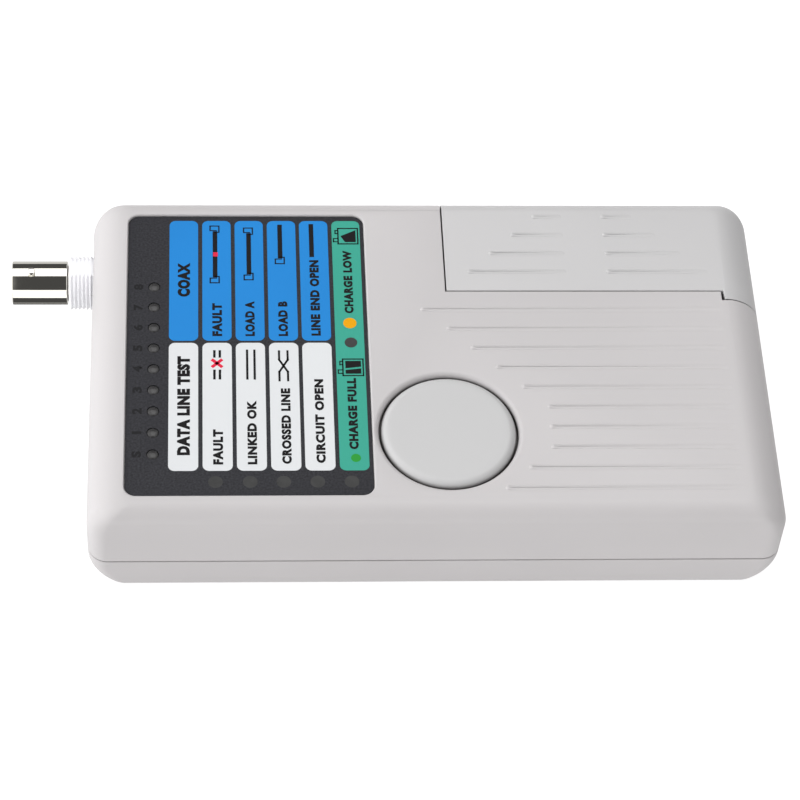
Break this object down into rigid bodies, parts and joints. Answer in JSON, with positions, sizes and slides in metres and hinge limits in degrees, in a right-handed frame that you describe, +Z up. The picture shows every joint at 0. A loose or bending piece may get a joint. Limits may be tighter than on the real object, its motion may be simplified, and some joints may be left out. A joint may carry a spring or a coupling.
{
  "type": "network cable tester",
  "caption": "Flat pale handheld cable tester with a dark face label, round test button, bayonet coaxial connector at one end and a docked slide-off remote unit.",
  "frame": {"origin": "centre of the main unit's flat underside", "axes": "+X away from the coaxial connector's end, +Y towards the long side the coaxial connector and the docked remote unit are nearest, +Z up out of the label face"},
  "size_m": [0.1623, 0.085, 0.0255],
  "materials": {
    "case_plastic": "fine matt texture, pale warm grey",
    "button_plastic": "satin pale grey",
    "label_film": "charcoal printed polycarbonate film, satin",
    "led_lens": "milky clear resin",
    "board": "green solder resist",
    "plated_metal": "bright nickel plate",
    "gold_contact": "thin gold plate",
    "white_nylon": "white nylon",
    "black_plastic": "black moulded plastic",
    "battery_jacket": "plain dark metal jacket",
    "lead_red": "red insulated lead",
    "screw_steel": "zinc plated"
  },
  "bodies": {
    "main_unit": {"top_shell": "case_plastic", "bottom_shell": "case_plastic", "face_overlay": "label_film", "main_pcb": "board", "line_led_1": "led_lens", "line_led_2": "led_lens", "line_led_3": "led_lens", "line_led_4": "led_lens", "line_led_5": "led_lens", "line_led_6": "led_lens", "line_led_7": "led_lens", "line_led_8": "led_lens", "shield_led": "led_lens", "result_led_1": "led_lens", "result_led_2": "led_lens", "result_led_3": "led_lens", "result_led_4": "led_lens", "battery_ok_led": "led_lens", "battery_low_led": "led_lens", "switch_body": "black_plastic", "controller_chip": "black_plastic", "bnc_shell": "plated_metal", "bnc_bushing": "white_nylon", "bnc_insulator": "white_nylon", "bnc_centre_contact": "gold_contact", "bnc_lock_washer": "plated_metal", "bnc_nut": "plated_metal", "line_jack_housing": "black_plastic", "line_jack_contacts": "gold_contact", "usb_a_shell": "plated_metal", "usb_a_tongue": "white_nylon", "battery": "battery_jacket", "battery_terminal_plus": "plated_metal", "battery_terminal_minus": "plated_metal", "battery_snap": "black_plastic", "snap_lead_red": "lead_red", "snap_lead_black": "black_plastic", "case_screw_1": "screw_steel", "case_screw_2": "screw_steel", "case_screw_3": "screw_steel", "case_screw_4": "screw_steel", "board_screw_1": "screw_steel", "board_screw_2": "screw_steel"},
    "test_button": {"test_button": "button_plastic", "switch_plunger": "black_plastic"},
    "battery_door": {"battery_door": "case_plastic"},
    "remote_unit": {"remote_top_shell": "case_plastic", "remote_bottom_shell": "case_plastic", "remote_pcb": "board", "remote_jack_housing": "black_plastic", "remote_jack_contacts": "gold_contact", "usb_b_shell": "plated_metal", "usb_b_tongue": "white_nylon", "remote_screw_1": "screw_steel", "remote_screw_2": "screw_steel"}
  },
  "joints": [
    {"name": "button_press", "type": "slide", "parent": "main_unit", "child": "test_button", "axis": [0, 0, -1], "range_m": [0, 0.001], "stiffness_N_per_m": 1200, "springref_m": -0.0003},
    {"name": "battery_door_slide", "type": "slide", "parent": "main_unit", "child": "battery_door", "axis": [1, 0, 0], "range_m": [0, 0.06]},
    {"name": "remote_slide", "type": "slide", "parent": "main_unit", "child": "remote_unit", "axis": [1, 0, 0], "range_m": [0, 0.075]}
  ]
}
